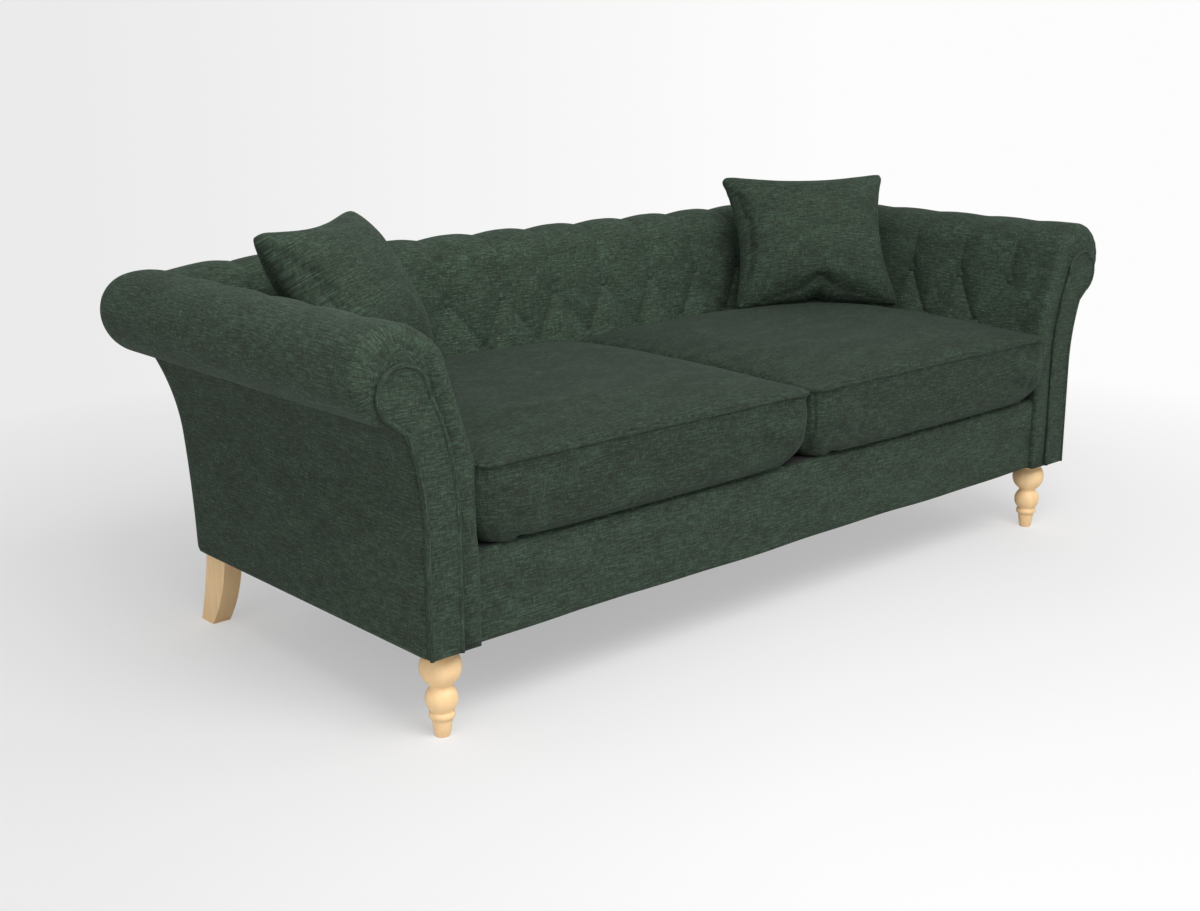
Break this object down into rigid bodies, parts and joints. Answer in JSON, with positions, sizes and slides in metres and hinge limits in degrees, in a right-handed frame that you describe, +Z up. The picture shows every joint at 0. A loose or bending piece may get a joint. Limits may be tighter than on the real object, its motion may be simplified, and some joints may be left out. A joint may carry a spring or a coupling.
{
  "type": "three-seater sofa",
  "caption": "Three-seater club sofa with scrolled, deep-buttoned low back and arms, loose boxed seat cushions, scatter cushions in the corners, turned front legs and swept back legs.",
  "frame": {"origin": "on the floor under the middle of the sofa's outline", "axes": "+X to the right for someone facing the sofa, -Y to the front, +Z up; millimetres in the source, metres in the row"},
  "size_m": [2.094, 0.97, 0.818],
  "materials": {
    "upholstery": "matt slubby weave",
    "filling": "matt",
    "lining": "matt non-woven",
    "webbing": "woven elastic",
    "zip_tape": "woven tape",
    "frame_wood": "sawn",
    "turned_wood": "clear matt lacquer",
    "bolt_steel": "zinc plated"
  },
  "bodies": {
    "root": {"arm_back_post_left": "frame_wood", "arm_back_post_right": "frame_wood", "arm_buttons_left": "upholstery", "arm_buttons_right": "upholstery", "arm_facing_left": "upholstery", "arm_facing_right": "upholstery", "arm_front_board_left": "frame_wood", "arm_front_board_right": "frame_wood", "arm_roll_left": "upholstery", "arm_roll_right": "upholstery", "arm_tack_rail_left": "frame_wood", "arm_tack_rail_right": "frame_wood", "arm_top_rail_left": "frame_wood", "arm_top_rail_right": "frame_wood", "back_buttons": "upholstery", "back_leg_left": "turned_wood", "back_leg_right": "turned_wood", "back_rail": "frame_wood", "back_roll": "upholstery", "back_tack_rail": "frame_wood", "back_top_rail": "frame_wood", "back_uprights": "frame_wood", "back_webbing": "webbing", "corner_blocks": "frame_wood", "dust_cover": "lining", "facing_piping_left": "upholstery", "facing_piping_right": "upholstery", "front_border": "upholstery", "front_legs": "turned_wood", "front_rail": "frame_wood", "inside_arm_left": "upholstery", "inside_arm_right": "upholstery", "inside_back": "upholstery", "leg_bolts": "bolt_steel", "outside_arm_left": "upholstery", "outside_arm_right": "upholstery", "outside_back": "upholstery", "seat_cross_rails": "frame_wood", "seat_cross_webbing": "webbing", "seat_platform": "lining", "seat_webbing": "webbing", "side_rail_left": "frame_wood", "side_rail_right": "frame_wood"},
    "seat_cushion_left": {"seat_cover_left": "upholstery", "seat_pad_left": "filling", "seat_zip_left": "zip_tape"},
    "scatter_cushion_left": {"scatter_cover_left": "upholstery", "scatter_pad_left": "filling", "scatter_zip_left": "zip_tape"},
    "seat_cushion_right": {"seat_cover_right": "upholstery", "seat_pad_right": "filling", "seat_zip_right": "zip_tape"},
    "scatter_cushion_right": {"scatter_cover_right": "upholstery", "scatter_pad_right": "filling", "scatter_zip_right": "zip_tape"}
  },
  "joints": [
    {"name": "lift_seat_cushion_left", "type": "slide", "parent": "root", "child": "seat_cushion_left", "axis": [0, 0, 1], "range_m": [0, 0.5]},
    {"name": "lift_scatter_cushion_left", "type": "slide", "parent": "seat_cushion_left", "child": "scatter_cushion_left", "axis": [0, 0, 1], "range_m": [0, 0.4]},
    {"name": "lift_seat_cushion_right", "type": "slide", "parent": "root", "child": "seat_cushion_right", "axis": [0, 0, 1], "range_m": [0, 0.5]},
    {"name": "lift_scatter_cushion_right", "type": "slide", "parent": "seat_cushion_right", "child": "scatter_cushion_right", "axis": [0, 0, 1], "range_m": [0, 0.4]}
  ]
}
